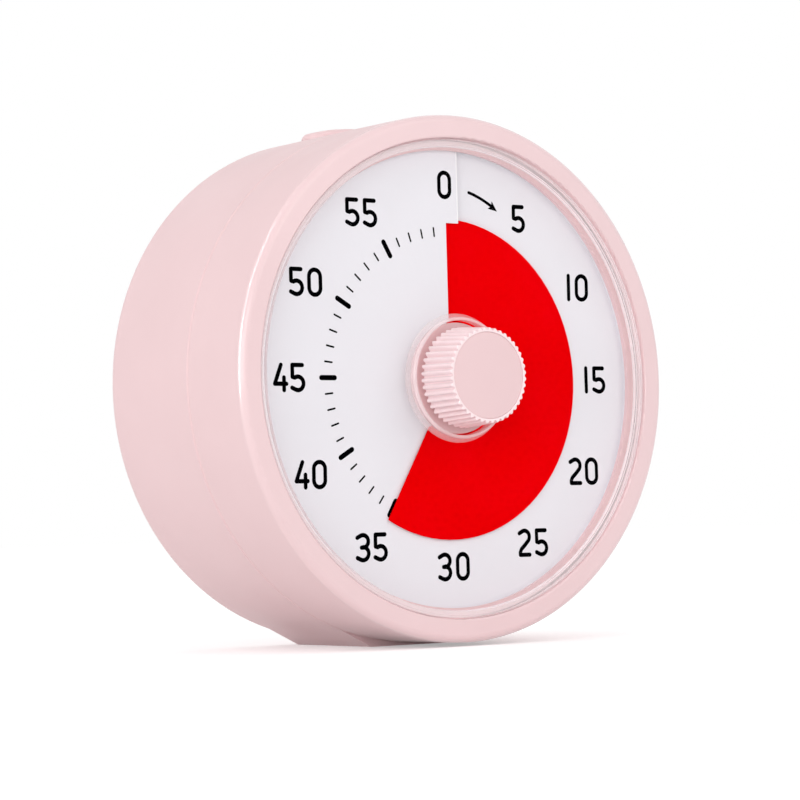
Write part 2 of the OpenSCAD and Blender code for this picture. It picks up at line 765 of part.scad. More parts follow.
module battery_cell() color([0.25, 0.3, 0.4]) {
  in_bay(cell_start) cylinder(h = cell_l - nub_l, r = cell_d / 2);
  in_bay(cell_start + cell_l - nub_l - fuse) cylinder(h = nub_l + fuse, r = nub_r);
}

module contact_leaf() linear_extrude(contact_t) square(contact_w, center = true);

module contact_plate() color(steel)
  in_bay(cell_start + cell_l) contact_leaf();

// Centre line of the conical spring: x from the plate, wide at the plate and narrow at the cell
function spring_centre(i) =
  let (s = i / spring_rings, a = 360 * spring_turns * s, r = spring_wide_r - spring_taper * s)
  [spring_low + (spring_high - spring_low) * s, r * cos(a), r * sin(a)];

module contact_spring() color(steel) {
  in_bay(-bay_length / 2) contact_leaf();
  points = [for (i = [0:spring_rings], k = [0:wire_sides - 1])
    let (a = 360 * spring_turns * i / spring_rings, b = 360 * k / wire_sides)
    spring_centre(i) + wire_r * [sin(b), cos(b) * cos(a), cos(b) * sin(a)]];
  faces = [for (i = [0:spring_rings - 1], k = [0:wire_sides - 1])
    let (p = i * wire_sides, q = p + wire_sides, n = (k + 1) % wire_sides)
    each [[p + k, q + n, q + k], [p + k, p + n, q + n]]];
  caps = [[for (k = [wire_sides - 1:-1:0]) k],
    [for (k = [0:wire_sides - 1]) spring_rings * wire_sides + k]];
  translate([-bay_length / 2, bezel_y + cell_depth, axis_z - cell_drop])
    polyhedron(points, concat(faces, caps));
}

module magnets() color(steel)
  for (p = magnet_at) layer(body_depth - magnet_t, body_depth) translate(p) circle(magnet_r);

module housing_screws() color(steel)
  for (a = boss_angles) translate(boss_ring_r * [sin(a), 0, cos(a)])
    screw(screw_head_r, screw_head_t, screw_r, screw_seat, screw_tip);

front_housing();
rear_housing();
lens();
dial();
dial_plate();
knob();
knob_cap();
arbor();
disc_hub();
time_disc();
time_wheel();
clutch_washer();
idler_gear();
idler_pin();
motor_pinion();
drive_motor();
movement_case();
movement_cover();
movement_screws();
circuit_board();
buzzer();
control_chip();
quartz_crystal();
volume_switch();
volume_slider();
button_switch();
top_button();
battery_cell();
contact_plate();
contact_spring();
battery_door();
magnets();
housing_screws();
board_screws();
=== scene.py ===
"""Finish of the sixty-minute countdown timer.

Materials, knob, window, top button, volume slider, printing, floor, light and camera. Sizes are in
millimetres: x to the right and z up from the drum's axis, depth from the bezel plane.
"""
import math

import bpy
from mathutils import Matrix, Vector


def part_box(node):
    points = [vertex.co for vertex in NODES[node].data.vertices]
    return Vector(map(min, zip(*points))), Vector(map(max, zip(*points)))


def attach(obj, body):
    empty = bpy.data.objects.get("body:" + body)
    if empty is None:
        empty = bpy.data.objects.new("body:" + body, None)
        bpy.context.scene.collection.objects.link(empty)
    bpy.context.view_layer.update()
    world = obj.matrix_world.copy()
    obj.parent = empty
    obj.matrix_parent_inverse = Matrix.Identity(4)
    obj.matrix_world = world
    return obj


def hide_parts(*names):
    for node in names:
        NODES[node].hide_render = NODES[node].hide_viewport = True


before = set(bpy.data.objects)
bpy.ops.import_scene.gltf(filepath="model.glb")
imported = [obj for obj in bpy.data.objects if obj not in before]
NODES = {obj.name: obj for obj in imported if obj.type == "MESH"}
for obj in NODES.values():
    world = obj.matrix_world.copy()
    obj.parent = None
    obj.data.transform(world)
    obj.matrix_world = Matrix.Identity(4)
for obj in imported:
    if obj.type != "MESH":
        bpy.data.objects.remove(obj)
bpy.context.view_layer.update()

MM = 0.001

# Axis and bezel plane, from the front shell's box
shell_low, shell_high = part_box("front_housing")
AXIS_X = (shell_low.x + shell_high.x) / 2
AXIS_Z = (shell_low.z + shell_high.z) / 2
BEZEL_Y = shell_low.y


def place(x, z, depth):
    """Point of the row frame for a place in the drum."""
    return Vector((AXIS_X + x * MM, BEZEL_Y + depth * MM, AXIS_Z + z * MM))


# ---- Materials -----------------------------------------------------------------------------------

def linear(red, green, blue):
    """Linear colour of an sRGB colour given from 0 to 255."""
    def channel(value):
        value /= 255
        return value / 12.92 if value <= 0.04045 else ((value + 0.055) / 1.055) ** 2.4
    return (channel(red), channel(green), channel(blue), 1)


def rays(tree, *kinds):
    """1 for rays of the named kinds, else 0."""
    path = tree.nodes.new("ShaderNodeLightPath")
    value = path.outputs[kinds[0]]
    for kind in kinds[1:]:
        either = tree.nodes.new("ShaderNodeMath")
        either.operation = "MAXIMUM"
        tree.links.new(value, either.inputs[0])
        tree.links.new(path.outputs[kind], either.inputs[1])
        value = either.outputs["Value"]
    return value


# Rays that pass clear pieces as if they weren't there
INDIRECT = ("Is Shadow Ray", "Is Diffuse Ray")
HOLE_EDGE = 0.06  # width round the hole of a pane where every ray does

# Depths between which the polish of the front fades out
POLISH_FADE = 0.9
POLISH_END = 1.2
POLISH_ROUGHNESS = 0.13

# Sizes of the slow changes in tone and gloss, and of the marks in metal
TONE_SIZE = 14
GLOSS_SIZE = 9
METAL_GLOSS_SIZE = 2
METAL_GRAIN = 0.12

CLEAR_IOR = 1.49
EDGE_ON_POWER = 5  # how steeply a pane's reflection grows towards low angles


class Finish:
    """Principled material with a node graph that is built up step by step."""

    def __init__(self, name, colour, roughness, metallic=0.0):
        self.material = bpy.data.materials.new(name)
        self.material.use_nodes = True
        self.tree = self.material.node_tree
        self.shader = self.tree.nodes["Principled BSDF"]
        self.shader.inputs["Base Color"].default_value = colour
        self.shader.inputs["Roughness"].default_value = roughness
        self.shader.inputs["Metallic"].default_value = metallic
        self.colour = colour
        self.place = self.node("ShaderNodeTexCoord").outputs["Object"]

    def node(self, kind, **settings):
        node = self.tree.nodes.new(kind)
        for key, value in settings.items():
            setattr(node, key, value)
        return node

    def link(self, source, target):
        self.tree.links.new(source, target)

    def compute(self, operation, *values):
        """Math node; each value is a socket or a number."""
        node = self.node("ShaderNodeMath", operation=operation)
        for value, target in zip(values, node.inputs):
            if isinstance(value, bpy.types.NodeSocket):
                self.link(value, target)
            else:
                target.default_value = value
        return node.outputs["Value"]

    def mix(self, share, first, second):
        """Shader that goes from the first to the second as the share goes from 0 to 1."""
        node = self.node("ShaderNodeMixShader")
        for source, target in zip((share, first, second), node.inputs):
            self.link(source, target)
        return node.outputs["Shader"]

    def surface(self, shader):
        """Takes a shader as the material's surface instead of the Principled one."""
        self.link(shader, self.tree.nodes["Material Output"].inputs["Surface"])

    def noise(self, size_mm, detail=2.0, stretch=(1, 1, 1)):
        """Noise whose cells are about size_mm wide."""
        mapping = self.node("ShaderNodeMapping")
        mapping.inputs["Scale"].default_value = stretch
        self.link(self.place, mapping.inputs["Vector"])
        noise = self.node("ShaderNodeTexNoise")
        noise.inputs["Scale"].default_value = 1 / (size_mm * MM)
        noise.inputs["Detail"].default_value = detail
        self.link(mapping.outputs["Vector"], noise.inputs["Vector"])
        return noise.outputs["Fac"]

    def remap(self, value, first, last, low, high):
        """Takes the range first ... last to low ... high."""
        node = self.node("ShaderNodeMapRange")
        for name, number in zip(("From Min", "From Max", "To Min", "To Max"),
                                (first, last, low, high)):
            node.inputs[name].default_value = number
        self.link(value, node.inputs["Value"])
        return node.outputs["Result"]

    def spread(self, value, low, high):
        """Maps the middle range of a noise to low ... high."""
        return self.remap(value, 0.3, 0.7, low, high)

    def by_depth(self, first_mm, last_mm, low, high):
        """Runs from low to high between two depths below the bezel."""
        axes = self.node("ShaderNodeSeparateXYZ")
        self.link(self.place, axes.inputs["Vector"])
        return self.remap(axes.outputs["Y"], BEZEL_Y + first_mm * MM, BEZEL_Y + last_mm * MM,
                          low, high)

    def grain(self, size_mm, height_mm, **shape):
        """Fine relief of a moulded or rolled surface."""
        bump = self.node("ShaderNodeBump")
        bump.inputs["Distance"].default_value = height_mm * MM
        self.link(self.noise(size_mm, **shape), bump.inputs["Height"])
        self.link(bump.outputs["Normal"], self.shader.inputs["Normal"])
        return self

    def vary_gloss(self, size_mm, low, high):
        self.link(self.spread(self.noise(size_mm), low, high), self.shader.inputs["Roughness"])
        return self

    def vary_colour(self, size_mm, other):
        """Lets the colour drift slowly towards another one."""
        mix = self.node("ShaderNodeMix", data_type="RGBA")
        mix.inputs["A"].default_value = self.colour
        mix.inputs["B"].default_value = other
        self.link(self.spread(self.noise(size_mm), 0, 1), mix.inputs["Factor"])
        self.link(mix.outputs["Result"], self.shader.inputs["Base Color"])
        return self


def plastic(name, rgb, roughness, grain_mm=0.22, grain_height=0.004, drift=3, gloss=0.5, ior=1.5):
    """Moulded plastic with a spark-eroded grain; drift is the change of tone in sRGB steps."""
    finish = Finish(name, linear(*rgb), roughness)
    shader = finish.shader
    shader.inputs["Specular IOR Level"].default_value = gloss
    shader.inputs["IOR"].default_value = ior
    finish.vary_colour(TONE_SIZE, linear(*(max(0, c - drift) for c in rgb)))
    finish.vary_gloss(GLOSS_SIZE, roughness - 0.04, roughness + 0.05)
    return finish.grain(grain_mm, grain_height)


def polish_front(finish, weight):
    """Smooth layer with crisp highlights over the knob and the bezel's round edge."""
    cover = finish.by_depth(POLISH_FADE, POLISH_END, weight, 0)
    finish.link(cover, finish.shader.inputs["Coat Weight"])
    finish.shader.inputs["Coat Roughness"].default_value = POLISH_ROUGHNESS
    return finish


def metal(name, rgb, roughness, stretch=(1, 1, 1)):
    """Rolled or turned metal with fine marks."""
    finish = Finish(name, linear(*rgb), roughness, metallic=1.0)
    finish.vary_gloss(METAL_GLOSS_SIZE, roughness - 0.06, roughness + 0.08)
    return finish.grain(METAL_GRAIN, 0.003, stretch=stretch)


def clear_pane(name, hole_mm):
    """Polished clear sheet that reflects at low angles. Shadow and diffuse rays pass straight.

    So does any ray at the edge of its hole, which would else be lost inside the sheet.
    """
    finish = Finish(name, linear(255, 255, 255), 0.0)
    bent = finish.node("ShaderNodeBsdfRefraction")
    bent.inputs["Roughness"].default_value = 0.0
    bent.inputs["IOR"].default_value = CLEAR_IOR
    mirror = finish.node("ShaderNodeBsdfGlossy")
    mirror.inputs["Roughness"].default_value = 0.03
    facing = finish.node("ShaderNodeLayerWeight").outputs["Facing"]
    sheet = finish.mix(finish.compute("POWER", facing, EDGE_ON_POWER), bent.outputs["BSDF"],
                       mirror.outputs["BSDF"])
    from_axis = finish.node("ShaderNodeMapping")
    from_axis.inputs["Location"].default_value = (-AXIS_X, 0, -AXIS_Z)
    from_axis.inputs["Scale"].default_value = (1, 0, 1)
    finish.link(finish.place, from_axis.inputs["Vector"])
    radius = finish.node("ShaderNodeVectorMath", operation="LENGTH")
    finish.link(from_axis.outputs["Vector"], radius.inputs[0])
    edge = finish.compute("LESS_THAN", radius.outputs["Value"], (hole_mm + HOLE_EDGE) * MM)
    straight = finish.compute("MAXIMUM", rays(finish.tree, *INDIRECT), edge)
    clear = finish.node("ShaderNodeBsdfTransparent")
    finish.surface(finish.mix(straight, sheet, clear.outputs["BSDF"]))
    return finish


def clear_trim(name, rgb, haze_and_sheen):
    """Clear plastic in thin raised walls; haze gives (depth below the bezel in mm, cover)."""
    # The pale cover is partly the whitish look of clear plastic and partly painted reflection; its
    # bands of strong cover paint highlight streaks
    finish = Finish(name, linear(*rgb), 0.1)
    deepest = haze_and_sheen[-1][0]
    ramp = finish.node("ShaderNodeValToRGB")
    stops = ramp.color_ramp.elements
    for _ in haze_and_sheen[2:]:
        stops.new(1)
    for stop, (at, cover) in zip(stops, haze_and_sheen):
        stop.position = at / deepest
        stop.color = (cover, cover, cover, 1)
    finish.link(finish.by_depth(0, deepest, 0, 1), ramp.inputs["Fac"])
    direct = finish.compute("SUBTRACT", 1, rays(finish.tree, *INDIRECT))
    cover = finish.compute("MULTIPLY", ramp.outputs["Color"], direct)
    finish.link(cover, finish.shader.inputs["Alpha"])
    return finish.grain(0.6, 0.001)


PINK = polish_front(plastic("satin_pink", (238, 207, 209), 0.42, gloss=0.4), 1.0)
# Lighter copy of the body's pink for the knob's ribbed grip: painted light on its sides
PINK_KNOB_PAINTED_LIGHT = polish_front(plastic("satin_pink_knob_painted_light", (254, 232, 234), 0.36, grain_height=0.002,
                                 gloss=0.4), 0.5)
# Darker copy of the pink for the knob's flange: painted shade in the recess between grip and collar
PINK_FLANGE_PAINTED_SHADE = plastic("satin_pink_flange_painted_shade", (222, 182, 184), 0.5, grain_height=0.002, gloss=0.2)
PINK_CAP = plastic("satin_pink_cap", (238, 207, 209), 0.38, grain_height=0.002, gloss=0.3)
DIAL = plastic("matte_dial", (238, 236, 241), 0.75, grain_mm=0.3, grain_height=0.002, drift=2,
               gloss=0.1)
RED = plastic("matte_red", (238, 0, 6), 0.6, grain_mm=0.3, grain_height=0.001, drift=4, ior=1.0)
# Near-white for the strip along the slit's cut edge: painted highlight
PAINTED_SLIT_HIGHLIGHT = plastic("painted_slit_highlight", (254, 252, 254), 0.5, grain_height=0.001, drift=1, gloss=0.2)
INK = plastic("printing_ink", (3, 3, 5), 0.7, grain_mm=0.15, grain_height=0.001, drift=2,
              ior=1.0)
GEAR = plastic("gear_plastic", (236, 226, 205), 0.35, grain_height=0.002)
DARK = plastic("dark_plastic", (40, 40, 44), 0.45)
BOARD = plastic("circuit_board", (18, 92, 48), 0.4, grain_mm=0.5, drift=8)
CELL = plastic("cell_sleeve", (66, 78, 104), 0.3, grain_height=0.001, drift=6)
STEEL = metal("nickel_steel", (196, 198, 202), 0.3)
MAGNET = metal("magnet_nickel", (176, 178, 184), 0.22)
COLLAR_HOLE_R = 9.2  # radius of the window's hole round the knob
WINDOW = clear_pane("clear_window", COLLAR_HOLE_R)
# The collar's pink tint is painted reflection of the knob, and its stronger cover at the top edge
# and the root paints white highlight lines
COLLAR = clear_trim("clear_collar", (250, 232, 234),
                    [(0, 0.6), (0.1, 0.5), (0.2, 0.3), (1.35, 0.25), (1.42, 0.5), (1.5, 0.1)])
# The rim's bands of strong cover paint white highlight streaks
RIM = clear_trim("clear_rim", (255, 245, 247),
                 [(0, 0.08), (0.42, 0.1), (0.5, 0.85), (0.68, 0.85), (0.74, 0.25), (0.84, 0.25),
                  (0.9, 0.85), (1.1, 0.85), (1.5, 0.45)])

FINISHES = {
    PINK: ["front_housing", "rear_housing", "battery_door"],
    DIAL: ["dial", "dial_plate"],
    RED: ["time_disc", "disc_hub"],
    GEAR: ["time_wheel", "idler_gear", "motor_pinion"],
    DARK: ["movement_case", "movement_cover", "buzzer", "control_chip", "volume_switch",
           "button_switch"],
    BOARD: ["circuit_board"],
    CELL: ["battery_cell"],
    STEEL: ["arbor", "clutch_washer", "idler_pin", "drive_motor", "movement_screws",
            "quartz_crystal", "contact_plate", "contact_spring", "housing_screws",
            "board_screws"],
    MAGNET: ["magnets"],
}
for finish, names in FINISHES.items():
    for name in names:
        for material_slot in NODES[name].material_slots:
            material_slot.material = finish.material


# ---- Mesh helpers --------------------------------------------------------------------------------

def add_piece(name, vertices, faces, finish, body, slot, sharp=35):
    """Mesh object that rides on a body; edges over the angle sharp stay crisp."""
    mesh = bpy.data.meshes.new(name)
    mesh.from_pydata(vertices, [], faces)
    mesh.materials.append(finish.material)
    mesh.shade_smooth()
    mesh.set_sharp_from_angle(angle=math.radians(sharp))
    mesh.update()
    piece = bpy.data.objects.new(name, mesh)
    bpy.context.scene.collection.objects.link(piece)
    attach(piece, body)
    return piece


def filleted(corners, steps=4):
    """Closed profile (radius, depth, share) with each corner rounded by its third value.

    Along a fillet the share runs from the last corner's to its own.
    """
    profile = []
    for i, (radius, depth, fillet, share) in enumerate(corners):
        here = Vector((radius, depth))
        last_share = corners[i - 1][3]
        before = (Vector(corners[i - 1][:2]) - here).normalized()
        after = (Vector(corners[(i + 1) % len(corners)][:2]) - here).normalized()
        if not fillet:
            profile.append((radius, depth, share))
            continue
        half = before.angle(after) / 2
        centre = here + (before + after).normalized() * fillet / math.sin(half)
        first = here + before * fillet / math.tan(half) - centre
        last = here + after * fillet / math.tan(half) - centre
        for step in range(steps + 1):
            arm = first.lerp(last, step / steps).normalized() * fillet
            profile.append((*(centre + arm), last_share + (share - last_share) * step / steps))
    return profile


def revolve(profile, segments, radius_at=None):
    """Vertices and faces of a closed profile turned round the axis. Radius 0 makes a centre."""
    vertices, rings, faces = [], [], []
    for radius, depth, share in profile:
        if radius < 1e-6:
            rings.append([len(vertices)] * segments)
            vertices.append(place(0, 0, depth))
            continue
        rings.append(list(range(len(vertices), len(vertices) + segments)))
        for k in range(segments):
            angle = 2 * math.pi * k / segments
            r = radius_at(radius, angle, share) if radius_at else radius
            vertices.append(place(r * math.sin(angle), r * math.cos(angle), depth))
    for i, ring in enumerate(rings):
        below = rings[(i + 1) % len(rings)]
        if ring[0] == ring[1] and below[0] == below[1]:
            continue
        for k in range(segments):
            n = (k + 1) % segments
            corners = [ring[k], ring[n], below[n], below[k]]
            faces.append(list(dict.fromkeys(corners)))
    return vertices, faces


# ---- Knob and window -----------------------------------------------------------------------------

JOINT = 0.02  # gap between pieces that are one moulding in the real object
KNOB_H = 6.8
KNOB_FRONT_R = 7.6
KNOB_BACK_R = 8.1
GRIP_BACK = 0.3
NECK_R = 6.8
RIM_EDGE_R = 7.2
FLANGE_R = 8.9
FLANGE_FRONT = 1.3
FLANGE_BACK = 2.6
RIBS = 44
RIB_DEPTH = 0.6
RIB_STEPS = 12
GROOVE_FLAT = 1.6
GROOVE_POWER = 1.3
WALL_R = 6.1
WALL_FRONT = -4
BOSS_R = 4.2
BORE_R = 2.5
BORE_FRONT = -3.2
BORE_BACK = 3.2
CAP_R = 6.9
CAP_DEPTH = -6.68
CAP_T = 1.0
ROUND_STEPS = 160


def rib_radius(radius, angle, share):
    """Radius of the ribbed grip: round crests with flat grooves between them."""
    wave = abs(math.sin(angle * RIBS / 2))
    return radius - share * RIB_DEPTH * min(1, GROOVE_FLAT * (1 - wave) ** GROOVE_POWER)


# Profiles are corners (radius, depth, fillet, share of the ribs)
# The ribbed grip takes the lighter pink, which is painted light
knob = add_piece("knob_ribbed", *revolve(filleted([
    (0, BORE_FRONT, 0, 0), (0, CAP_DEPTH + CAP_T, 0, 0), (CAP_R, CAP_DEPTH + CAP_T, 0, 0),
    (CAP_R, -KNOB_H, 0.08, 0), (RIM_EDGE_R, -KNOB_H, 0, 0.3), (KNOB_FRONT_R, -KNOB_H, 0.25, 1),
    (KNOB_BACK_R, GRIP_BACK, 0.12, 1), (NECK_R, GRIP_BACK, 0.05, 0),
    (NECK_R, FLANGE_FRONT + JOINT, 0, 0), (WALL_R, FLANGE_FRONT + JOINT, 0, 0),
    (WALL_R, WALL_FRONT, 0.4, 0), (BOSS_R, WALL_FRONT, 0.3, 0), (BOSS_R, BORE_BACK, 0.15, 0),
    (BORE_R, BORE_BACK, 0, 0), (BORE_R, BORE_FRONT, 0, 0)]), RIBS * RIB_STEPS, rib_radius),
    PINK_KNOB_PAINTED_LIGHT, "knob", "pink")
# The flange takes the darker pink, painted shade of the recess behind the grip
flange = add_piece("knob_flange", *revolve(filleted([
    (WALL_R, FLANGE_FRONT, 0, 0), (FLANGE_R, FLANGE_FRONT, 0.15, 0),
    (FLANGE_R, FLANGE_BACK, 0.15, 0), (WALL_R, FLANGE_BACK, 0.1, 0)]), ROUND_STEPS),
    PINK_FLANGE_PAINTED_SHADE, "knob", "pink")
for piece in (knob, flange):
    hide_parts("knob")

cap = add_piece("knob_face", *revolve(filleted([
    (0, CAP_DEPTH, 0, 0), (CAP_R, CAP_DEPTH, 0.16, 0),
    (CAP_R, CAP_DEPTH + CAP_T, 0, 0), (0, CAP_DEPTH + CAP_T, 0, 0)]), ROUND_STEPS),
    PINK_CAP, "knob", "pink_cap")
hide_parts("knob_cap")

WINDOW_FRONT = 1.5
WINDOW_BACK = 3.1
WINDOW_R = 38.25
COLLAR_TOP_R = 9.6
COLLAR_TOP_DEPTH = -0.15
COLLAR_ROOT_R = 10.4
RIM_R = 37.05
RIM_DEPTH = 0.3
RIM_STEP_DEPTH = 0.35
RIM_GROOVE_R = 37.92
RIM_GROOVE_DEPTH = 0.5
PANE_STEPS = 240
RIM_STEPS = 360

# The pane, its collar and its rim are closed pieces a hair apart, so that rays leave one before
# they enter the next
window = add_piece("window", *revolve(filleted([
    (COLLAR_HOLE_R, WINDOW_FRONT, 0.05, 0), (WINDOW_R, WINDOW_FRONT, 0.05, 0),
    (WINDOW_R, WINDOW_BACK, 0.15, 0), (COLLAR_HOLE_R, WINDOW_BACK, 0.15, 0)]), PANE_STEPS),
    WINDOW, "housing", "clear")
collar = add_piece("window_collar", *revolve(filleted([
    (COLLAR_HOLE_R, COLLAR_TOP_DEPTH, 0.12, 0), (COLLAR_TOP_R, COLLAR_TOP_DEPTH, 0.14, 0),
    (COLLAR_ROOT_R, WINDOW_FRONT - JOINT, 0.1, 0), (COLLAR_HOLE_R, WINDOW_FRONT - JOINT, 0.05, 0)]),
    PANE_STEPS), COLLAR, "housing", "clear")
rim = add_piece("window_rim", *revolve(filleted([
    (RIM_R, WINDOW_FRONT - JOINT, 0, 0), (RIM_R + 0.17, RIM_STEP_DEPTH, 0.15, 0),
    (RIM_GROOVE_R - 0.1, RIM_STEP_DEPTH, 0.12, 0), (RIM_GROOVE_R, RIM_GROOVE_DEPTH, 0.05, 0),
    (RIM_GROOVE_R + 0.1, RIM_DEPTH, 0.08, 0), (WINDOW_R, RIM_DEPTH, 0.08, 0),
    (WINDOW_R, WINDOW_FRONT - JOINT, 0, 0)]), RIM_STEPS), RIM, "housing", "clear")
for piece in (window, collar, rim):
    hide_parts("lens")


# ---- Top button ----------------------------------------------------------------------------------

BUTTON_W = 18
BUTTON_L = 8
BUTTON_DEPTH = 29.5
BUTTON_TOP_R = 43.14
BUTTON_FILLET = 1.05
BUTTON_FLANGE = 1.6
FLANGE_TOP_R = 39.8
FLANGE_LOW_R = 38.8
PLUNGER_DEPTH = 27.4
PLUNGER_R = 1.5
PLUNGER_LOW = 33.7
PLUNGER_SIDES = 32
PLUNGER_SUNK = 0.3
FILLET_STEPS = 6
CROWN_INSET = 2.4


def stadium(inset, steps=14):
    """Outline (x, depth) of the button, drawn inwards by inset."""
    reach = BUTTON_L / 2 - inset
    straight = (BUTTON_W - BUTTON_L) / 2
    outline = []
    for side in (1, -1):
        for step in range(steps + 1):
            angle = math.radians((90 if side > 0 else 270) - 180 * step / steps)
            outline.append((side * straight + reach * math.cos(angle), reach * math.sin(angle)))
        across = side * straight
        outline += [(across - side * BUTTON_W * k / 12, -side * reach) for k in range(1, 6)
                    if abs(across - side * BUTTON_W * k / 12) < straight]
    return outline


def button():
    """Button with a rounded rim, its flange under the shell and its plunger."""
    rings = [(-BUTTON_FLANGE, FLANGE_LOW_R), (-BUTTON_FLANGE, FLANGE_TOP_R), (0, FLANGE_TOP_R)]
    for step in range(FILLET_STEPS + 1):
        angle = math.radians(90 * step / FILLET_STEPS)
        rings.append((BUTTON_FILLET * (1 - math.cos(angle)),
                      BUTTON_TOP_R - BUTTON_FILLET * (1 - math.sin(angle))))
    rings += [(CROWN_INSET, BUTTON_TOP_R), (BUTTON_L / 2, BUTTON_TOP_R),
              (BUTTON_L / 2, FLANGE_LOW_R)]
    vertices, faces = [], []
    for inset, radius in rings:
        vertices += [place(x, math.sqrt(radius ** 2 - x ** 2), BUTTON_DEPTH + depth)
                     for x, depth in stadium(inset)]
    count = len(vertices) // len(rings)
    for i in range(len(rings)):
        first, second = i * count, (i + 1) % len(rings) * count
        for k in range(count):
            n = (k + 1) % count
            faces.append([first + k, second + k, second + n, first + n])
    base, sides = len(vertices), PLUNGER_SIDES
    for height in (PLUNGER_LOW, FLANGE_LOW_R + PLUNGER_SUNK):
        vertices += [place(PLUNGER_R * math.cos(2 * math.pi * k / sides), height,
                           PLUNGER_DEPTH + PLUNGER_R * math.sin(2 * math.pi * k / sides))
                     for k in range(sides)]
    faces.append([base + sides - 1 - k for k in range(sides)])
    faces.append([base + sides + k for k in range(sides)])
    faces += [[base + k, base + (k + 1) % sides, base + sides + (k + 1) % sides, base + sides + k]
              for k in range(sides)]
    return vertices, faces


top_button = add_piece("button_rounded", *button(), PINK, "top_button", "pink")
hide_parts("top_button")


# ---- Volume slider -------------------------------------------------------------------------------

SLIDER_HEAD_T = 0.6
SLIDER_NECK_W = 2
SLIDER_NECK_L = 1.6
SLIDER_NECK_SUNK = 0.1
SLIDER_RIBS = 5
SLIDER_RIB_STEPS = 8
SLIDER_GROOVE = 0.3

slider_low, slider_high = ((corner - place(0, 0, 0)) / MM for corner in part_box("volume_slider"))
slider_middle = (slider_low + slider_high) / 2
slider_half = (slider_high - slider_low) / 2


def prism(outline, low, high):
    """Closed prism from one height to another over an outline (x, depth)."""
    vertices = [place(x, z, depth) for z in (low, high) for x, depth in outline]
    count = len(outline)
    faces = [list(range(count))[::-1], [count + k for k in range(count)]]
    faces += [[k, (k + 1) % count, count + (k + 1) % count, count + k] for k in range(count)]
    return vertices, faces


def slider():
    """Slider with round ribs for the thumb across its face, on a neck through the slot."""
    left, right = slider_middle.x - slider_half.x, slider_middle.x + slider_half.x
    root, face = slider_low.y, slider_high.y
    seat = face - SLIDER_HEAD_T
    steps = SLIDER_RIB_STEPS * SLIDER_RIBS
    head = [(left, seat), (right, seat)]
    for step in range(steps + 1):
        wave = abs(math.sin(math.pi * SLIDER_RIBS * step / steps))
        head.append((slider_middle.x + slider_half.x * (1 - 2 * step / steps),
                     face - SLIDER_GROOVE * (1 - wave)))
    vertices, faces = prism(head, slider_low.z, slider_high.z)
    half_w, half_l = SLIDER_NECK_W / 2, SLIDER_NECK_L / 2
    top = seat + SLIDER_NECK_SUNK
    neck = [(slider_middle.x + side * half_w, depth)
            for side, depth in ((-1, root), (1, root), (1, top), (-1, top))]
    neck_vertices, neck_faces = prism(neck, slider_middle.z - half_l, slider_middle.z + half_l)
    faces += [[len(vertices) + index for index in ring] for ring in neck_faces]
    return vertices + neck_vertices, faces


volume_slider = add_piece("slider_ribbed", *slider(), PINK, "volume_slider", "pink")
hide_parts("volume_slider")


# ---- Printing on the dial, and a painted highlight at its slit -----------------------------------

SHEET_PITCH = 0.9
SLIT_X = 2.5
DIAL_MIDDLE = 4.6
DIAL_HALF_T = 0.1
DIAL_HOLE_R = 8
DIAL_OUTER_R = 37.2
INK_LIFT = 0.01
CORNER = math.radians(40)  # a stroke that turns more than this gets a round corner
END_STEPS = 8


def line_angle(radius):
    """Angle in degrees at which a circle meets the line of the slit."""
    return math.degrees(math.asin(SLIT_X / radius))


def dial_front(x, z):
    """Depth of the dial's front face: straight lines that start at the slit and climb round."""
    radius = math.hypot(x, z)
    turn = (math.degrees(math.atan2(x, z)) - line_angle(radius)) % 360
    inner, outer = (math.sqrt(r * r - SLIT_X ** 2) for r in (DIAL_HOLE_R, DIAL_OUTER_R))
    along = (math.sqrt(radius ** 2 - SLIT_X ** 2) - inner) / (outer - inner)
    start = line_angle(DIAL_HOLE_R) * (1 - along) + line_angle(DIAL_OUTER_R) * along
    return DIAL_MIDDLE + SHEET_PITCH / 2 - SHEET_PITCH * (turn + start) / 360 - DIAL_HALF_T


class Print:
    """Flat shapes on the dial in one mesh: print, and the slit's painted highlight."""

    def __init__(self):
        self.vertices = []
        self.faces = []

    def polygon(self, points):
        """Convex shape, turned so that it faces the front."""
        turn = sum(x * next_z - next_x * z
                   for (x, z), (next_x, next_z) in zip(points, points[1:] + points[:1]))
        if turn < 0:
            points = points[::-1]
        first = len(self.vertices)
        self.vertices += [place(x, z, dial_front(x, z) - INK_LIFT) for x, z in points]
        self.faces.append(list(range(first, first + len(points))))

    def stroke(self, path, width, closed=False):
        """Line of even width with round ends. Sharp corners are rounded, gentle ones mitred."""
        path = [Vector(p) for p in path]
        count = len(path)
        sides, run = [], [path[0]]
        if not closed:
            for before, here, after in zip(path, path[1:], path[2:]):
                run.append(here)
                if (here - before).angle(after - here) > CORNER:
                    self.stroke(run, width)
                    run = [here]
            if len(run) < count - 1:
                self.stroke(run + [path[-1]], width)
                return
        for i, here in enumerate(path):
            before = here - path[i - 1] if i or closed else path[1] - here
            after = path[(i + 1) % count] - here if i < count - 1 or closed else before
            before, after = before.normalized(), after.normalized()
            across = Vector((-before.y - after.y, before.x + after.x)).normalized()
            reach = width / 2 / across.dot(Vector((-before.y, before.x)))
            sides.append((here + across * reach, here - across * reach))
        for i in range(count if closed else count - 1):
            (a, b), (c, d) = sides[i], sides[(i + 1) % count]
            self.polygon([a, b, d, c])
        if closed:
            return
        for end, inner, (corner, _) in ((path[0], path[1], sides[0]),
                                        (path[-1], path[-2], sides[-1])):
            towards = (end - inner).normalized() * width / 2
            side = corner - end
            self.polygon([end + side * math.cos(t) + towards * math.sin(t)
                          for t in (math.pi * k / END_STEPS for k in range(END_STEPS + 1))])

    def piece(self, name, finish, slot="dark"):
        return add_piece(name, self.vertices, self.faces, finish, "housing", slot)


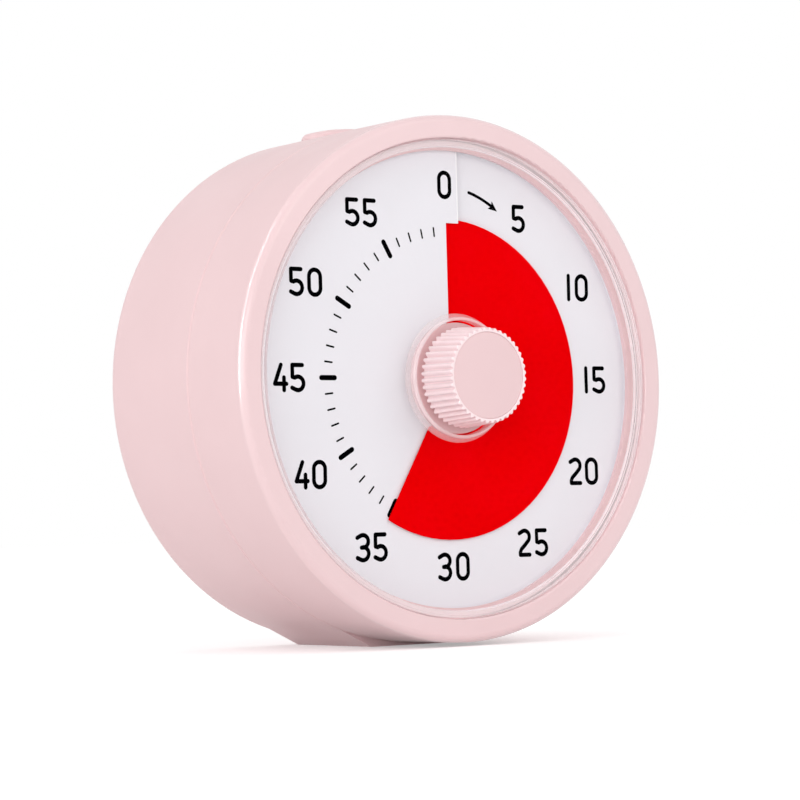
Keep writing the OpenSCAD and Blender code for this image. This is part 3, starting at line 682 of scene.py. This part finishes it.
def arc(x, z, rx, rz, first, last, steps=14):
    """Points of an ellipse's arc; angles in degrees from +x towards +z."""
    return [(x + rx * math.cos(math.radians(first + (last - first) * k / steps)),
             z + rz * math.sin(math.radians(first + (last - first) * k / steps)))
            for k in range(steps + 1)]


STROKE = 0.69
DIGIT_W = 2.8
DIGIT_H = 4.58
HALF_W = (DIGIT_W - STROKE) / 2
HALF_H = (DIGIT_H - STROKE) / 2
BOWL = 0.98
HOOK = 1.08

# Centre lines of each digit's strokes about its middle
DIGITS = {
    "0": [arc(0, HALF_H - HALF_W, HALF_W, HALF_W, 0, 180)
          + arc(0, HALF_W - HALF_H, HALF_W, HALF_W, 180, 360)],
    "1": [[(0, -HALF_H), (0, HALF_H)]],
    "2": [[(-HOOK, HALF_H - 0.42)] + arc(0, HALF_H - BOWL, BOWL, BOWL, 118, -38)
          + [(0.1, -HALF_H * 0.16), (-0.72, -HALF_H * 0.52), (-BOWL, -HALF_H * 0.78),
             (-BOWL, -HALF_H), (BOWL, -HALF_H)]],
    "3": [[(-HOOK, HALF_H - 0.4)] + arc(0, HALF_H - BOWL, 1.03, BOWL, 118, -78)
          + [(-0.28, HALF_H - 1.93)],
          arc(0, 1.02 - HALF_H, 1.08, 1.02, 84, -118) + [(-HOOK, 0.38 - HALF_H)]],
    "4": [[(0.1, HALF_H), (-HALF_W, -HALF_H * 0.5), (HALF_W, -HALF_H * 0.5)],
          [(0.62, 0.0), (0.62, -HALF_H)]],
    "5": [[(HALF_W * 0.8, HALF_H), (-BOWL, HALF_H), (-BOWL, 0.1)],
          [(-BOWL, 0.1)] + arc(0, 1.05 - HALF_H, 1.04, 1.05, 122, -118)
          + [(-HOOK, 0.38 - HALF_H)]],
}
CLOSED = {"0"}

# Middle of each digit across, and height of the number
NUMBERS = {
    "0": ([-0.14], 31.17), "5": ([15.5], 26.37), "10": ([25.69, 28.4], 15.38),
    "15": ([28.87, 31.55], 0.08), "20": ([25.96, 29.33], -15.07),
    "25": ([14.74, 18.22], -26.58), "30": ([-1.69, 1.9], -30.03),
    "35": ([-17.64, -14.26], -26.51), "40": ([-28.82, -25.59], -15.02),
    "45": ([-32.42, -29.27], -0.03), "50": ([-29.09, -25.71], 14.81),
    "55": ([-18.27, -14.89], 26.05),
}

numbers = Print()
for text, (middles, z) in NUMBERS.items():
    for digit, x in zip(text, middles):
        for path in DIGITS[digit]:
            numbers.stroke([(x + u, z + v) for u, v in path], STROKE, digit in CLOSED)
numbers.piece("dial_numbers", INK)

TICK_R = 23.68
TICK_L = 1.6
TICK_W = 0.3
MAJOR_L = 3.3
MAJOR_W = 0.82

ticks = Print()
for minute in range(2, 60):
    major = minute % 5 == 0
    length, width = (MAJOR_L, MAJOR_W) if major else (TICK_L, TICK_W)
    angle = math.radians(6 * minute)
    outward = Vector((math.sin(angle), math.cos(angle)))
    half = (length - width) / 2
    ticks.stroke([outward * (TICK_R + half * k / 2) for k in range(-2, 3)], width)
ticks.piece("dial_ticks", INK)

ARROW_LINE = [(5.44, 30.23), (6.3, 29.97), (7.1, 29.66), (8.06, 29.25), (9.0, 28.78), (9.8, 28.33)]
ARROW_TIP = (11.15, 27.41)
ARROW_W = 0.5
ARROW_HEAD_L = 1.8
ARROW_HEAD_HALF_W = 0.75
ARROW_NOTCH = 0.35

arrow = Print()
arrow.stroke(ARROW_LINE, ARROW_W)
tip = Vector(ARROW_TIP)
heading = (tip - Vector(ARROW_LINE[-1])).normalized()
across = Vector((-heading.y, heading.x)) * ARROW_HEAD_HALF_W
base = tip - heading * ARROW_HEAD_L
arrow.polygon([tip, base + across, base + heading * ARROW_NOTCH, base - across])
arrow.piece("dial_arrow", INK)

# White strip along the dial's cut edge above the red disc: a painted highlight
SLIT_HIGHLIGHT_W = 0.22
SLIT_HIGHLIGHT_Z = (25.6, 29, 33, 36.9)
slit_highlight = Print()
slit_highlight.stroke([(SLIT_X - SLIT_HIGHLIGHT_W / 2 - INK_LIFT, z) for z in SLIT_HIGHLIGHT_Z], SLIT_HIGHLIGHT_W)
slit_highlight.piece("dial_slit_painted_highlight", PAINTED_SLIT_HIGHLIGHT, "white")


# ---- Floor, light and camera ---------------------------------------------------------------------

FLOOR_HALF = 3.0
floor_mesh = bpy.data.meshes.new("floor")
floor_mesh.from_pydata([(-FLOOR_HALF, -FLOOR_HALF, 0), (FLOOR_HALF, -FLOOR_HALF, 0),
                        (FLOOR_HALF, FLOOR_HALF, 0), (-FLOOR_HALF, FLOOR_HALF, 0)],
                       [], [(0, 1, 2, 3)])
floor = bpy.data.objects.new("floor", floor_mesh)
bpy.context.scene.collection.objects.link(floor)

FLOOR_GLOW = 0.34  # only for camera and glossy rays, so that the paper looks white
paper = Finish("floor_paper", (0.88, 0.88, 0.88, 1), 1.0)
paper.shader.inputs["Specular IOR Level"].default_value = 0.0
glow = paper.node("ShaderNodeEmission")
seen = rays(paper.tree, "Is Camera Ray", "Is Glossy Ray")
paper.link(paper.compute("MULTIPLY", seen, FLOOR_GLOW), glow.inputs["Strength"])
both = paper.node("ShaderNodeAddShader")
paper.link(paper.shader.outputs["BSDF"], both.inputs[0])
paper.link(glow.outputs["Emission"], both.inputs[1])
paper.surface(both.outputs["Shader"])
floor_mesh.materials.append(paper.material)

AMBIENT = 0.8  # level of the world for all rays that light the object
world = bpy.data.worlds.new("studio")
bpy.context.scene.world = world
world.use_nodes = True
sky = world.node_tree
background = sky.nodes["Background"]
background.inputs["Color"].default_value = (1, 1, 1, 1)
level = sky.nodes.new("ShaderNodeMapRange")
level.inputs["To Min"].default_value = AMBIENT
level.inputs["To Max"].default_value = 1.0
seen = rays(sky, "Is Camera Ray", "Is Glossy Ray", "Is Transmission Ray")
sky.links.new(seen, level.inputs["Value"])
sky.links.new(level.outputs["Result"], background.inputs["Strength"])


AIM_DEPTH = 5  # depth of the point on the axis that the lamps face


def softbox(name, location, width, height, power, sheen_only=False):
    """Rectangular area light aimed at the drum; sheen_only adds just its reflection."""
    light = bpy.data.lights.new(name, "AREA")
    light.shape = "RECTANGLE"
    light.size = width
    light.size_y = height
    light.energy = power
    lamp = bpy.data.objects.new(name, light)
    lamp.location = location
    aim = place(0, 0, AIM_DEPTH) - Vector(location)
    lamp.rotation_euler = aim.to_track_quat("-Z", "Y").to_euler()
    lamp.visible_diffuse = not sheen_only
    bpy.context.scene.collection.objects.link(lamp)


softbox("key", (0.35, -0.95, 0.5), 0.7, 0.7, 1.1)
softbox("fill", (-0.6, -0.75, 0.25), 0.6, 0.4, 1.5)
softbox("side", (-0.9, -0.3, 0.17), 0.6, 0.3, 1.3)
softbox("edge_low", (-0.5, 0.04, 0.12), 0.08, 0.22, 1.5, sheen_only=True)
softbox("edge_high", (-0.42, 0.03, 0.36), 0.08, 0.3, 0.45, sheen_only=True)

# Camera solved from the photograph's circles: rows are its right, down and forward directions
CAMERA_AXES = ((0.8060826, -0.5912107, -0.0264719), (0.0036848, 0.0497439, -0.9987552),
               (0.5917916, 0.8049816, 0.0422762))
CAMERA_AT = (-281.6204, -22.8445, -365.9826)
FOCAL_PX = 2896.52
FRAME_PX = 800
right, down, forward = (Vector(row) for row in CAMERA_AXES)
camera_data = bpy.data.cameras.new("camera")
camera_data.sensor_width = 36
camera_data.lens = FOCAL_PX * camera_data.sensor_width / FRAME_PX
camera_data.clip_start = 0.01
camera = bpy.data.objects.new("camera", camera_data)
camera.matrix_world = (Matrix.Translation(place(*CAMERA_AT))
                       @ Matrix((right, -down, -forward)).transposed().to_4x4())
bpy.context.scene.collection.objects.link(camera)
bpy.context.scene.camera = camera

bpy.context.scene.view_settings.view_transform = "Standard"
